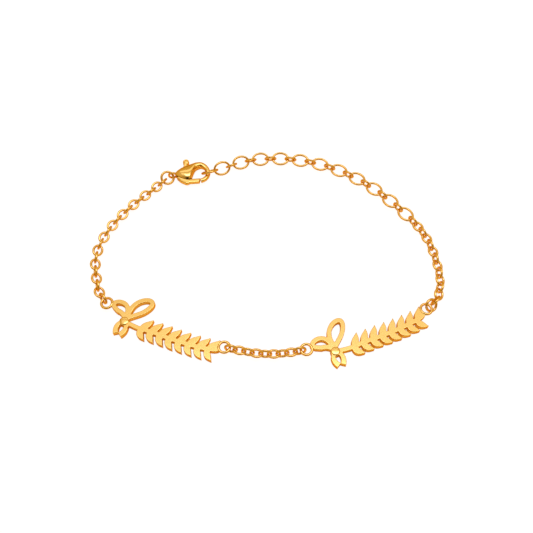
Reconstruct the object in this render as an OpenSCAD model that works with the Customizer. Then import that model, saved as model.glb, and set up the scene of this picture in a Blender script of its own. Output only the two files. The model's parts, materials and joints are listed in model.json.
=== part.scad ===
/* [Chain] */
// Thickness of the chain's round wire
link_wire = 0.5; // [0.4:0.05:0.55]
// Length of a small cable link over its ends
link_len = 2.85; // [2.6:0.05:3.2]
// Width of a small cable link
link_wid = 2.3; // [2.2:0.05:2.5]
// Gap between the wires of two links that hook each other
link_gap = 0.14; // [0.13:0.01:0.16]
// Small links from the clasp's jump ring to the left plate, an odd number
left_links = 21; // [17:2:25]
// Small links between the two plates, an odd number
centre_links = 9; // [7:2:13]
// Small links from the right plate's jump ring to the extender, an odd number
right_links = 13; // [9:2:17]

/* [Extender] */
// Length of a large extender link over its ends
large_len = 4.1; // [3.9:0.05:4.6]
// Width of a large extender link
large_wid = 3.25; // [3.2:0.05:3.8]
// Large links that lie in a row, each joined to the next by one small link
large_links = 11; // [8:1:13]

/* [Rings] */
// Thickness of the round wire of the end rings and the jump rings
ring_wire = 0.55; // [0.5:0.01:0.6]
// Outer diameter of the rings soldered to the plates
end_ring_d = 2.8; // [2.7:0.05:3]
// Outer diameter of the jump ring at the clasp
clasp_ring_d = 3.3; // [3:0.1:3.8]
// Outer diameter of the jump ring beside the right plate
plate_ring_d = 3; // [2.9:0.1:3.4]
// Gap between the wires where a round ring hooks another piece
ring_gap = 0.38; // [0.34:0.01:0.4]

/* [Nameplate] */
// Distance between the centres of a plate's two end rings
plate_len = 26.2; // [24:0.2:30]
// Thickness of the plate
plate_t = 1.3; // [1:0.1:1.6]
// Height of the bow at the plate's left end, from its tails to the top of its tall loop
bow_h = 8.6; // [7.6:0.1:10]
// Width of the bow's tall loop
loop_w = 3.5; // [3:0.1:4]
// Width of the band of metal round a loop
band_w = 0.95; // [0.8:0.05:1.1]
// Diameter of the bow's knot
knot_d = 2; // [1.6:0.1:2.4]
// Width of the laurel branch's stem
stem_w = 0.9; // [0.7:0.1:1.2]
// Pairs of laurel leaves
leaf_pairs = 8; // [5:1:8]
// Length of a laurel leaf above the stem
leaf_len = 3.3; // [2.6:0.1:3.6]
// Width of a laurel leaf
leaf_w = 1.4; // [1.1:0.05:1.5]

/* [Clasp] */
// Length of the clasp from its tail ring's centre to the middle of the nose
clasp_len = 8.15; // [7.6:0.05:9.4]
// Width of the clasp's body and hook
clasp_wid = 5.8; // [5.4:0.1:6.2]
// Thickness of the clasp's body
clasp_t = 2.3; // [2.2:0.05:2.6]
// Thickness of the hook at its nose, where the end link hangs
nose_t = 1; // [0.9:0.05:1.1]
// Outer diameter of the clasp's tail ring
tail_ring_d = 2.2; // [2.1:0.05:2.4]
// Thickness of the lever
lever_t = 1; // [0.9:0.05:1.1]
// Width of the lever's arm where it closes the hook
gate_w = 1; // [0.9:0.05:1.1]
// Diameter of the round thumb nub on the lever
nub_d = 1.4; // [1.2:0.1:1.6]
// Diameter of the pin that the lever turns on
pin_d = 0.7; // [0.6:0.05:0.9]
// Running clearance between the pin and the lever's bore, on the radius
pin_gap = 0.05; // [0.03:0.01:0.08]
// Gap between the lever and the body, on every side
lever_gap = 0.12; // [0.1:0.01:0.2]
// How far the lever turns inward when it is pulled open, in degrees
lever_travel = 25; // [20:1:28]

/* [Hidden] */

GOLD = "#F3B94A";
PALE_GOLD = "#FFE08C";
bend_steps = 24;
wire_sides = 16;

// The route that the bracelet lies on, anticlockwise from the clasp's tail, seen from above.
// Columns: x and y in mm at the sizes above, then the roll in degrees of the links that lie
// flat there, about the chain's own direction. The whole route is stretched by route_scale.
ROUTE = [
    [-21.9, 22.9, -30], [-23.6, 21.6, -30], [-25.9, 19.1, -28], [-30.5, 14.4, -26], [-34.4, 8.9, -24],
    [-36.5, 3.0, -22], [-36.0, -3.0, -21], [-32.8, -9.4, -20], [-20.6, -15.6, -18],
    [-7.8, -19.0, -18], [0, -20.2, -18], [7.6, -19.2, -18], [20.4, -16.0, 0],
    [32.4, -10.2, 18], [35.4, -5.4, 28], [35.2, 1.6, 10], [33.2, 7.9, 4],
    [28.0, 14.9, -2], [21.2, 21.2, -6], [13.2, 25.6, -10], [4.4, 27.6, -16],
    [-4.6, 27.2, -26], [-12.4, 24.2, -42], [-17.2, 22.9, -42]
];

// A smooth closed curve through the rows of ROUTE, at a place counted in rows
function route_row(i) = ROUTE[(i + len(ROUTE)) % len(ROUTE)];
function route_at(t) =
    let (i = floor(t), f = t - i,
        a = route_row(i - 1), b = route_row(i), c = route_row(i + 1), d = route_row(i + 2))
    b + (c - a) * f / 2 + (2 * a - 5 * b + 4 * c - d) * f * f / 2
        + (3 * b - a - 3 * c + d) * f * f * f / 2;
function flat(p) = [p[0], p[1]];

// Middle radii of the round wires
end_ring_r = (end_ring_d - ring_wire) / 2;
tail_ring_r = (tail_ring_d - link_wire) / 2;

// One row for each piece in the order of ROUTE. Columns: length between the middles of the
// wires at its two ends, wire thickness at its start and at its end, width over its wire,
// its turn about its own length, 0 for lying flat and 90 for standing on edge, and the middle
// radius of the round ring that it starts with and that it ends with, 0 for an oval link.
function small_row(turn) = [link_len - link_wire, link_wire, link_wire, link_wid, turn, 0, 0];
function large_row(turn) = [large_len - link_wire, link_wire, link_wire, large_wid, turn, 0, 0];
function cable_rows(count) = [for (k = [0:count - 1]) small_row(k % 2 == 0 ? 90 : 0)];
function ring_row(outer, turn) =
    let (r = (outer - ring_wire) / 2) [2 * r, ring_wire, ring_wire, outer, turn, r, r];
plate_row = [plate_len + 2 * end_ring_r, ring_wire, ring_wire, 0, 0, end_ring_r, end_ring_r];
clasp_row = [clasp_len + tail_ring_r, nose_t, link_wire, 0, 0, 0, tail_ring_r];
ring_turn = 25;
extender_rows = [for (k = [0:2 * large_links - 2]) k % 2 == 0 ? large_row(0) : small_row(90)];
PIECES = concat([ring_row(clasp_ring_d, 0)], cable_rows(left_links), [plate_row],
    cable_rows(centre_links), [plate_row], [ring_row(plate_ring_d, ring_turn)],
    cable_rows(right_links), extender_rows, [large_row(90)], [clasp_row]);
count = len(PIECES);

// Where each run of pieces starts in PIECES
left_start = 1;
left_plate_at = left_start + left_links;
centre_start = left_plate_at + 1;
right_plate_at = centre_start + centre_links;
plate_ring_at = right_plate_at + 1;
right_start = plate_ring_at + 1;
extender_start = right_start + right_links;
hooked_at = extender_start + 2 * large_links - 1;
clasp_at = hooked_at + 1;

// The end link hangs over the clasp's nose. Its wire stays clear of the bar all round,
// so the distance is worked out in the plane of the link, which leans by hooked_lean.
section_power = 0.75;
function rounded(c) = sign(c) * pow(abs(c), section_power);
hooked_lean = -ROUTE[len(ROUTE) - 2][2];
hooked_z = link_wire / 2 + (large_wid - link_wire) / 2 * cos(hooked_lean);
clasp_z = clasp_t / 2;
nose_bend = clasp_wid / 4;
nose_clearance = 0.25;
hooked_inner = large_wid / 2 - link_wire;
hooked_reach = min([for (f = [-90:10:90])
    let (across = (clasp_z - hooked_z + nose_t / 2 * rounded(sin(f))) / cos(hooked_lean),
        side = across * sin(hooked_lean))
    (large_len - large_wid) / 2
        + sqrt(max(0.01, pow(hooked_inner - nose_clearance, 2) - across * across))
        - nose_t / 2 * rounded(cos(f)) - side * side / (2 * nose_bend)]);
nose_step = (large_len - link_wire) / 2 - hooked_reach;

// Distance along the chain between the two wires that cross at the start of a piece
function step_at(i) =
    let (a = PIECES[(i + count - 1) % count], b = PIECES[i % count])
    i == clasp_at ? nose_step : (a[2] + b[1]) / 2 + (a[6] > 0 || b[5] > 0 ? ring_gap : link_gap);

// How far the piece before a joint reaches past it. The joint is at the centre of a round
// ring, so that the next piece may pull at it from any side, or halfway between two wires.
function past_joint(i) =
    let (ended = PIECES[(i + count - 1) % count][6], started = PIECES[i % count][5])
    ended > 0 ? ended : started > 0 ? step_at(i) - started : step_at(i) / 2;
function before_joint(i) = step_at(i) - past_joint(i);
function chord_of(i) = PIECES[i][0] - before_joint(i) - past_joint(i + 1);
CHORDS = [for (i = [0:count - 1]) chord_of(i)];

// Place on the route that lies one chord further on than t
chord_search = 5;
halvings = 18;
function advance(t, chord, low, high, left) =
    left == 0 ? (low + high) / 2
    : norm(flat(route_at((low + high) / 2)) - flat(route_at(t))) < chord
        ? advance(t, chord, (low + high) / 2, high, left - 1)
        : advance(t, chord, low, (low + high) / 2, left - 1);
function walk(scale) = [
    for (i = 0, t = 0; i <= count;
        t = i < count ? advance(t, CHORDS[i] / scale, t, t + chord_search, halvings) : t, i = i + 1) t
];

// The stretch at which the last piece ends where the first one starts
function fit_scale(low, high, left) =
    left == 0 ? (low + high) / 2
    : walk((low + high) / 2)[count] > len(ROUTE)
        ? fit_scale((low + high) / 2, high, left - 1)
        : fit_scale(low, (low + high) / 2, left - 1);
route_scale = fit_scale(0.7, 1.5, halvings);
PLACES = walk(route_scale);
JOINTS = [for (i = [0:count]) i == count ? route_scale * flat(route_at(0))
    : route_scale * flat(route_at(PLACES[i]))];

function heading(i) =
    let (d = JOINTS[i + 1] - JOINTS[i]) atan2(d[1], d[0]);
function along(i) = [cos(heading(i)), sin(heading(i))];
function start_wire(i) = JOINTS[i] - along(i) * before_joint(i);
function middle(i) = start_wire(i) + along(i) * PIECES[i][0] / 2;
function roll(i) = PIECES[i][4] + route_at((PLACES[i] + PLACES[i + 1]) / 2)[2];
function arm(i) = (PIECES[i][3] - PIECES[i][1]) / 2;

// A piece stands on the table, or is held higher between its neighbours
function standing_z(i) = PIECES[i][1] / 2 + arm(i) * abs(sin(roll(i)));
function piece_z(i) = max(standing_z(i), (level(i - 1) + level(i + 1)) / 2);
function level(i) = PIECES[(i + count) % count][3] == 0 ? clasp_z : standing_z((i + count) % count);
chain_z = link_wire / 2 + (link_wid - link_wire) / 2 * cos(ROUTE[8][2]);

// Outer reach of a link or ring in the direction u, for the middle of the whole outline
function reach(i, u) =
    let (a = along(i), side = a[0] * u[1] - a[1] * u[0], fore = a * u,
        straight = max(0, PIECES[i][0] + PIECES[i][1] - PIECES[i][3]) / 2)
    middle(i) * u + straight * abs(fore)
        + arm(i) * sqrt(fore * fore + pow(side * cos(roll(i)), 2)) + PIECES[i][1] / 2;
LINKS = [for (i = [0:count - 1]) if (PIECES[i][3] > 0) i];
east = max([for (i = LINKS) reach(i, [1, 0])]);
west = -max([for (i = LINKS) reach(i, [-1, 0])]);
north = max([for (i = LINKS) reach(i, [0, 1])]);

// The plate's ornament, in the plate's own frame: x runs from ring to ring, y to the inside.
// A ribbon bow with two open loops and two tails ties a laurel branch with paired leaves.
knot = [0.2 * plate_len, -0.27 * bow_h];

// The bow's open loops. Columns: tip as shares of plate_len and bow_h, width as a share of
// loop_w, and how far the loop curves to the left, as a share of loop_w
LOOPS = [[0.345, 0.44, 1, 0.2], [0.036, 0.03, 0.84, -0.36]];

// The bow's tails. Columns: turn of the middle, and of the end, in degrees from the x axis,
// and length as a share of bow_h
TAILS = [[-160, -98, 0.34], [-22, -82, 0.35]];

// The branch's middle line, which ends in the wire of the right end ring.
// Columns: shares of plate_len, and of bow_h
BRANCH = [
    [0.2, -0.27], [0.32, -0.3], [0.45, -0.275], [0.58, -0.27], [0.72, -0.245],
    [0.85, -0.2], [0.94, -0.14]
];
branch_end_turn = 217;
branch_steps = 5;
leaf_first = 0.33;
leaf_last = 0.875;
upper_turn = 52;
lower_turn = -44;
lower_share = 0.86;
loop_waist = 0.6;
loop_steps = 8;
tip_step = 10;
loop_places = concat([for (k = [0:loop_steps - 1]) loop_waist * k / loop_steps],
    [for (f = [0:tip_step:90]) loop_waist + (1 - loop_waist) * sin(f)]);
loop_root = 0.12;
loop_point = 0.02;
loop_halves = concat([for (k = [0:loop_steps - 1]) max(loop_root, sin(90 * k / loop_steps)) / 2],
    [for (f = [0:tip_step:90]) max(loop_point, cos(f)) / 2]);
tail_root = 0.35;
tail_flare = 0.25;
leaf_steps = 10;
leaf_bend = 0.08;
leaf_tip = 0.04;
leaf_belly = 0.85;
corner_r = 0.12;
corner_sides = 12;

function smooth_line(rows, steps) = [
    for (k = [0:len(rows) - 2], s = [0:steps - 1])
        let (f = s / steps, a = rows[max(k - 1, 0)], b = rows[k], c = rows[k + 1],
            d = rows[min(k + 2, len(rows) - 1)])
        b + (c - a) * f / 2 + (2 * a - 5 * b + 4 * c - d) * f * f / 2
            + (3 * b - a - 3 * c + d) * f * f * f / 2,
    rows[len(rows) - 1]
];
function normal_at(line, k) =
    let (d = line[min(k + 1, len(line) - 1)] - line[max(k - 1, 0)])
    [-d[1], d[0]] / norm(d);
function toward(turn) = [cos(turn), sin(turn)];

// The edge of a band of metal with the given half widths on both sides of a line
function ribbon(line, half) = concat(
    [for (k = [0:len(line) - 1]) line[k] + normal_at(line, k) * half[k]],
    [for (k = [len(line) - 1:-1:0]) line[k] - normal_at(line, k) * half[k]]
);

module bow_loop(tip, width, curve) {
    d = tip - knot;
    n = [-d[1], d[0]] / norm(d);
    line = [for (s = loop_places) knot + d * s + n * curve * sin(180 * s)];
    difference() {
        polygon(ribbon(line, loop_halves * width));
        offset(delta = -band_w) polygon(ribbon(line, loop_halves * width));
    }
}

// The edge of one of the bow's tails, which widens from the knot to its end
function tail_edge(row) =
    let (line = [for (k = [0:leaf_steps]) let (s = k / leaf_steps)
            knot + row[2] * bow_h * s * toward(row[0] + (row[1] - row[0]) * s)])
    ribbon(line, [for (k = [0:leaf_steps]) band_w * (tail_root + tail_flare * k / leaf_steps)]);

module leaf(foot, turn, length) {
    line = [for (k = [0:leaf_steps]) let (s = k / leaf_steps)
        foot + length * s * toward(turn) + toward(turn - 90) * length * leaf_bend * sin(180 * s)];
    polygon(ribbon(line, [for (k = [0:leaf_steps])
        max(leaf_tip, sin(180 * pow(k / leaf_steps, leaf_belly)) * leaf_w / 2)]));
}

module ornament() {
    branch = smooth_line(concat([for (row = BRANCH) [row[0] * plate_len, row[1] * bow_h]],
        [[plate_len, 0] + end_ring_r * toward(branch_end_turn)]), branch_steps);
    polygon(ribbon(branch, [for (p = branch) stem_w / 2]));
    translate(knot) circle(d = knot_d);
    for (row = LOOPS)
        bow_loop([row[0] * plate_len, row[1] * bow_h], row[2] * loop_w, row[3] * loop_w);
    for (row = TAILS)
        polygon(tail_edge(row));
    for (k = [0:leaf_pairs - 1]) {
        x = (leaf_first + (leaf_last - leaf_first) * k / (leaf_pairs - 1)) * plate_len;
        foot = [x, lookup(x, branch)];
        leaf(foot, upper_turn, leaf_len);
        leaf(foot, lower_turn, leaf_len * lower_share);
    }
}

module plate_outline() {
    offset(r = -corner_r, $fn = corner_sides) offset(r = corner_r, $fn = corner_sides)
        ornament($fn = bend_steps);
}

module wire_ring(outer, wire) {
    rotate_extrude($fn = 2 * bend_steps) translate([(outer - wire) / 2, 0])
        circle(d = wire, $fn = wire_sides);
}

module nameplate() {
    linear_extrude(height = plate_t) plate_outline();
    for (x = [0, plate_len])
        translate([x, 0, chain_z]) wire_ring(end_ring_d, ring_wire);
}

module oval_link(length, width) {
    bend_r = (width - link_wire) / 2;
    run = (length - width) / 2;
    for (turn = [0, 180])
        rotate([0, 0, turn]) translate([run, 0, 0]) rotate([0, 0, -90])
            rotate_extrude(angle = 180, $fn = bend_steps) translate([bend_r, 0])
                circle(d = link_wire, $fn = wire_sides);
    for (side = [-1, 1])
        translate([-run, side * bend_r, 0]) rotate([0, 90, 0])
            cylinder(d = link_wire, h = 2 * run, $fn = wire_sides);
}

// Puts a child that lies along x, centred, in the place of piece i
module at_piece(i) {
    translate([middle(i)[0], middle(i)[1], piece_z(i)]) rotate([0, 0, heading(i)])
        rotate([roll(i), 0, 0]) children();
}
module links(first, number) {
    for (i = [first:first + number - 1])
        at_piece(i) oval_link(PIECES[i][0] + link_wire, PIECES[i][3]);
}
module at_plate(i) {
    translate([JOINTS[i][0], JOINTS[i][1], 0]) rotate([0, 0, heading(i)]) children();
}

// The clasp, in its own frame: x runs from the tail ring to the nose, y to the outside
hook_x = 0.742 * clasp_len;
hole_r = clasp_len - nose_t / 2 - hook_x;
back_y = 0.52 * clasp_wid;
gate_y = -hole_r - gate_w / 2;
pivot = [0.32 * clasp_len, -0.18 * clasp_wid];
nub = [0.385 * clasp_len, 0.57 * clasp_wid];
gate_past = 0.2;
gate_reach = norm([hook_x + gate_past, gate_y] - pivot);
pin_h = 0.9 * clasp_t;

// Sections of the clasp's body from the tail to the hook's root. Columns: x and y of the
// back edge, then of the front edge, as shares of clasp_len and clasp_wid, and the height
// as a share of clasp_t
BODY = [
    [0.076, 0.075, 0.076, -0.075, 0.42], [0.13, 0.16, 0.125, -0.14, 0.7],
    [0.23, 0.27, 0.215, -0.22, 0.92], [0.34, 0.36, 0.32, -0.3, 0.99],
    [0.44, 0.42, 0.42, -0.35, 1], [0.515, 0.455, 0.495, -0.305, 1],
    [0.575, 0.48, 0.545, -0.145, 0.97], [0.63, 0.502, 0.588, 0.04, 0.92],
    [0.69, 0.515, 0.65, 0.19, 0.84]
];
body_steps = 2;
section_sides = 18;
hook_from = 80;
hook_step = 10;

function section(back, front, height) = [
    for (k = [0:section_sides - 1])
        let (f = 360 * k / section_sides, p = (back + front) / 2 + (back - front) / 2 * rounded(cos(f)))
        [p[0], p[1], clasp_z + height / 2 * rounded(sin(f))]
];

// The hook is nose_t high from its open end up to the turn nose_until, and then rises to its root
root_height = 0.78;
nose_until = 10;
rise_power = 1.3;
function hook_height(f) =
    let (rise = max(0, f - nose_until) / (hook_from - nose_until))
    nose_t + max(0, root_height * clasp_t - nose_t) * pow(rise, rise_power);
body_sections = concat(
    [for (row = smooth_line(BODY, body_steps)) section([row[0] * clasp_len, row[1] * clasp_wid],
        [row[2] * clasp_len, row[3] * clasp_wid], row[4] * clasp_t)],
    [for (f = [hook_from:-hook_step:-hook_from])
        let (outer = [clasp_len + nose_t / 2 - hook_x, f > 0 ? back_y : hole_r + gate_w])
        section([hook_x + outer[0] * cos(f), outer[1] * sin(f)],
            [hook_x + hole_r * cos(f), hole_r * sin(f)], hook_height(f))]
);

// A closed skin over rings of points that all have as many points
module skin(rings) {
    n = len(rings[0]);
    last = (len(rings) - 1) * n;
    polyhedron(
        points = [for (ring = rings, p = ring) p],
        faces = concat(
            [[for (k = [0:n - 1]) k]],
            [for (r = [0:len(rings) - 2], k = [0:n - 1]) let (m = (k + 1) % n)
                [r * n + k, (r + 1) * n + k, (r + 1) * n + m]],
            [for (r = [0:len(rings) - 2], k = [0:n - 1]) let (m = (k + 1) % n)
                [r * n + k, (r + 1) * n + m, r * n + m]],
            [[for (k = [n - 1:-1:0]) last + k]]
        )
    );
}

module bar(a, b, width) {
    d = b - a;
    translate(a) circle(d = width);
    translate(b) circle(d = width);
    translate(a) rotate([0, 0, atan2(d[1], d[0])]) translate([0, -width / 2])
        square([norm(d), width]);
}

// The round corners of the lever's belly. Columns: x as a share of clasp_len, y as a share of
// the gate's distance from the axis, and radius as a share of clasp_len
BELLY = [[0.4, 0.988, 0.095], [0.28, 0.722, 0.09], [0.175, 0.456, 0.055]];
boss_wall = 0.3;
arm_w = 0.9;
gate_root = 0.42 * clasp_len;
lever_sides = 48;
sweep_steps = 5;

// The lever seen from above: belly, boss round the pin, arm to the nub and the gate
module lever_outline() {
    hull() for (row = BELLY)
        translate([row[0] * clasp_len, row[1] * gate_y]) circle(r = row[2] * clasp_len);
    translate(pivot) circle(d = pin_d + 2 * pin_gap + 2 * boss_wall);
    bar(pivot, nub, arm_w);
    translate(nub) circle(d = nub_d);
    intersection() {
        translate([gate_root, gate_y - gate_w / 2]) square([clasp_len - gate_root, gate_w]);
        translate(pivot) circle(r = gate_reach);
    }
}

module lever_sweep() {
    offset(delta = lever_gap) for (k = [0:sweep_steps])
        translate(pivot) rotate([0, 0, lever_travel * k / sweep_steps]) translate(-pivot)
            lever_outline($fn = lever_sides);
}

// Puts a child drawn in the clasp's own frame in the clasp's place on the loop
module at_clasp() {
    translate([JOINTS[count][0], JOINTS[count][1], 0])
        rotate([0, 0, heading(clasp_at) + 180]) children();
}

// Moves the finished loop so that the middle of its outline stands on the origin
plates_south = min([for (i = [left_plate_at, right_plate_at], row = TAILS, p = tail_edge(row))
    JOINTS[i][1] + along(i)[1] * p[0] + along(i)[0] * p[1]]);
south = min(plates_south, -max([for (i = LINKS) reach(i, [0, -1])]));
module centred() {
    translate([-(east + west) / 2, -(north + south) / 2, 0]) children();
}

module nameplate_left() color(PALE_GOLD) centred() at_plate(left_plate_at) nameplate();
module nameplate_right() color(PALE_GOLD) centred() at_plate(right_plate_at) nameplate();
module cable_chain_left() color(GOLD) centred() links(left_start, left_links);
module cable_chain_centre() color(GOLD) centred() links(centre_start, centre_links);
module cable_chain_right() color(GOLD) centred() links(right_start, right_links);
module extender_chain() color(GOLD) centred() links(extender_start, 2 * large_links);
module jump_ring_clasp() color(GOLD) centred() at_piece(0) wire_ring(clasp_ring_d, ring_wire);
module jump_ring_plate() color(GOLD) centred() at_piece(plate_ring_at)
    wire_ring(plate_ring_d, ring_wire);
module clasp_body() color(GOLD) centred() at_clasp() {
    difference() {
        skin(body_sections);
        translate([0, 0, clasp_z - lever_t / 2 - lever_gap])
            linear_extrude(height = lever_t + 2 * lever_gap) lever_sweep();
        translate([pivot[0], pivot[1], -clasp_t]) intersection() {
            cylinder(r = gate_reach + lever_gap, h = 3 * clasp_t, $fn = lever_sides);
            translate([hook_x - pivot[0], -clasp_wid, 0]) cube([clasp_len, clasp_wid, 3 * clasp_t]);
        }
    }
    translate([pivot[0], pivot[1], clasp_z - pin_h / 2])
        cylinder(d = pin_d, h = pin_h, $fn = lever_sides);
    translate([0, 0, clasp_z]) rotate([90, 0, 0]) wire_ring(tail_ring_d, link_wire);
}
module clasp_lever() color(GOLD) centred() at_clasp()
    translate([0, 0, clasp_z - lever_t / 2]) difference() {
        linear_extrude(height = lever_t) lever_outline($fn = lever_sides);
        translate([pivot[0], pivot[1], -lever_t])
            cylinder(d = pin_d + 2 * pin_gap, h = 3 * lever_t, $fn = lever_sides);
    }

nameplate_left();
nameplate_right();
cable_chain_left();
cable_chain_centre();
cable_chain_right();
extender_chain();
jump_ring_clasp();
jump_ring_plate();
clasp_body();
clasp_lever();
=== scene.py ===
# %% [markdown]
# # A gold-plated nameplate bracelet
#
# The real bracelet is a loop of fine cable chain with two openwork plates soldered between
# rings, a row of larger extender links and a lobster clasp. All of it is brass, plated with a
# thin layer of yellow gold and polished, so nearly everything the eye sees is a reflection.
# The frame that this script loads already holds each piece at its real size and place. The
# work left here is to give every piece the smooth skin and the finish that polished metal
# needs, because a facet that nobody notices on a painted part shows at once on a mirror.

# %% Load the frame
import json
import math

import bpy
import numpy as np
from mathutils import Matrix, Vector
from mathutils.geometry import delaunay_2d_cdt


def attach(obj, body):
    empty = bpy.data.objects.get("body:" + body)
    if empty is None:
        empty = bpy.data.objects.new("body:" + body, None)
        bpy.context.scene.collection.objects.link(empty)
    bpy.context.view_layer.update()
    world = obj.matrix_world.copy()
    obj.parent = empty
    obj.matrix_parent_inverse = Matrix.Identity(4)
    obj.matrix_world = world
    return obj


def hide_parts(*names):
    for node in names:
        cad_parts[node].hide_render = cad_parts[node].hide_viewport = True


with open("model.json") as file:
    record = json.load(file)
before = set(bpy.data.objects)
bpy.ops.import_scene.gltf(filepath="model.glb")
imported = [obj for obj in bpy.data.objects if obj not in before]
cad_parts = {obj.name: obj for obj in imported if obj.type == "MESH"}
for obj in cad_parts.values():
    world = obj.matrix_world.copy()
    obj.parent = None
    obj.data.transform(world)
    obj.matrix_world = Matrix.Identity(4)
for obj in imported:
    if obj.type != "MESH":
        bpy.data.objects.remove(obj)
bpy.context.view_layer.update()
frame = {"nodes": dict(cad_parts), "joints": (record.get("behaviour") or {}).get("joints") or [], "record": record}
MM = 0.001

# %% [markdown]
# ## Reading a node as arrays
#
# A node of the frame is a heap of loose triangles. Two things are read from it. A chain node
# tells where each of its links is, and a plate tells its exact outline. Both need points that
# triangles share, so equal points are made one first. They could be merged in edit mode, but
# as arrays the same work is a single sort, and nothing in the scene is touched.

# %% Points and triangles of a node
MERGE = 1e-7


def weld(points):
    """Points (N, 3) with equal ones made one, and where each of the old points went."""
    keys = np.round(points / MERGE).astype(np.int64)
    _, first, same = np.unique(keys, axis=0, return_index=True, return_inverse=True)
    return points[first], same.reshape(-1)


def node_arrays(name):
    """Points (N, 3) in metres and triangles (M, 3) of a node, with equal points made one."""
    mesh = frame["nodes"][name].data
    points = np.empty(len(mesh.vertices) * 3)
    mesh.vertices.foreach_get("co", points)
    corners = np.empty(len(mesh.loops), int)
    mesh.loops.foreach_get("vertex_index", corners)
    points, same = weld(points.reshape(-1, 3))
    return points, same[corners].reshape(-1, 3)


def solids(triangles, count):
    """Number of the loose solid that each point is in. Each edge gives both its points the
    lower of their two labels, and each label then takes its own label's label, until all rest."""
    label = np.arange(count)
    edges = np.concatenate([triangles[:, :2], triangles[:, 1:]])
    while True:
        low = label[edges].min(axis=1)
        new = label.copy()
        np.minimum.at(new, edges[:, 0], low)
        np.minimum.at(new, edges[:, 1], low)
        new = new[new]
        if (new == label).all():
            return np.unique(label, return_inverse=True)[1]
        label = new


# %% [markdown]
# ## Making a mesh from grids
#
# Every new surface here is a grid of points, a function of two parameters u and v. A grid
# could be skinned with Blender's own primitives and modifiers, but then its rows can't be put
# where the curve is tight. As an array it is one formula, and the faces follow from the grid's
# size alone. Each grid also gets a UV map in millimetres, so that a finish such as drawing
# lines can follow the wire.

# %% Grids, caps and pieces
def grid(points, u_mm, v_mm, loop_u=True, loop_v=True):
    """Quads over a (U, V, 3) grid of points. Each quad joins a point to the next ones along u
    and v, and where a direction is a loop the last joins the first. u_mm and v_mm are the
    lengths at the rows, one more than there are rows where the direction is a loop."""
    rows, columns = points.shape[:2]
    u = np.arange(rows if loop_u else rows - 1)[:, None]
    v = np.arange(columns if loop_v else columns - 1)[None, :]
    corners = [(u, v), (u + 1, v), (u + 1, v + 1), (u, v + 1)]
    faces = np.stack([(a % rows) * columns + b % columns for a, b in corners], -1)
    uv = np.stack([np.stack(np.broadcast_arrays(np.asarray(u_mm)[a], np.asarray(v_mm)[b]), -1)
                   for a, b in corners], -2)
    return points.reshape(-1, 3), faces.reshape(-1, 4).tolist(), uv.reshape(-1, 2)


def cap(ring, middle, flip=False):
    """Triangles from a closed ring of points (N, 3) to one point in its middle."""
    count = len(ring)
    a = np.arange(count)
    b = (a + 1) % count
    faces = np.stack([b, a, a * 0 + count] if flip else [a, b, a * 0 + count], -1)
    return np.concatenate([ring, [middle]]), faces.tolist(), np.zeros((3 * count, 2))


def join_blocks(name, blocks):
    """One object from blocks of (points, faces, UV), with the seams between them welded.
    Faces that the welding closed to a line are taken out, because they would render black."""
    starts = np.cumsum([0] + [len(points) for points, _, _ in blocks])
    points, same = weld(np.concatenate([points for points, _, _ in blocks]))
    same = same.tolist()
    faces = [[same[corner + start] for corner in face]
             for (_, faces, _), start in zip(blocks, starts.tolist()) for face in faces]
    mesh = bpy.data.meshes.new(name)
    mesh.from_pydata(points.tolist(), [], faces)
    layer = mesh.uv_layers.new(name="Surface")
    uv = np.concatenate([uv for _, _, uv in blocks])
    layer.data.foreach_set("uv", uv.astype(np.float32).ravel())
    mesh.validate()
    piece = bpy.data.objects.new(name, mesh)
    bpy.context.scene.collection.objects.link(piece)
    return piece


SHARP_ABOVE = math.radians(38)


def finish_piece(piece, material, body, slot, stands_for):
    """Shades a piece smooth but for its edges, and ties it to the frame."""
    mesh = piece.data
    mesh.materials.clear()
    mesh.materials.append(material)
    mesh.polygons.foreach_set("use_smooth", np.ones(len(mesh.polygons), bool))
    mesh.set_sharp_from_angle(angle=SHARP_ABOVE)
    mesh.update()
    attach(piece, body)
    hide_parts(*stands_for)
    size = np.array(piece.dimensions) / MM
    print(f"{piece.name}: {len(mesh.polygons)} faces, {np.round(size, 2).tolist()} mm")


def make_piece(name, blocks, *ties):
    """One finished piece from blocks. ties are the material, body, slot and nodes; the slot is not used."""
    piece = join_blocks(name, blocks)
    finish_piece(piece, *ties)
    return piece


# %% [markdown]
# ## The colour of gold plate
#
# Yellow gold reflects red fully, green well and blue poorly, and that is all its colour: a
# metal has no body colour under its shine. Where one gold surface mirrors another the light is
# tinted twice, and turns from yellow to a deep orange. So one colour is right for the whole
# bracelet, and the pale faces and dark corners must come from the light.
# Colours are given as hex values, the way a paint chart names them, and one function turns
# them to the linear values that Cycles works in.

# %% Colours and the node helper
def linear(hex_colour, alpha=1.0):
    """An sRGB hex colour as linear RGBA: ((c + 0.055) / 1.055) to the power 2.4, or c / 12.92
    for the darkest values."""
    c = np.array([int(hex_colour[k:k + 2], 16) for k in (1, 3, 5)]) / 255
    c = np.where(c <= 0.04045, c / 12.92, ((c + 0.055) / 1.055) ** 2.4)
    return (*c.tolist(), alpha)


def add(tree, kind, inputs=None, **settings):
    """Adds one node. settings are its own properties, and inputs gives for each socket either
    a value or the output that it is linked from."""
    node = tree.nodes.new(kind)
    for key, value in settings.items():
        setattr(node, key, value)
    for key, value in (inputs or {}).items():
        if isinstance(value, bpy.types.NodeSocket):
            tree.links.new(value, node.inputs[key])
        else:
            node.inputs[key].default_value = value
    return node


GOLD = "#F6CF80"
GOLD_THIN = "#F4C875"
GOLD_EDGE = "#EBC27E"
PER_MM = 1 / MM
FILM_MM = 3

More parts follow.
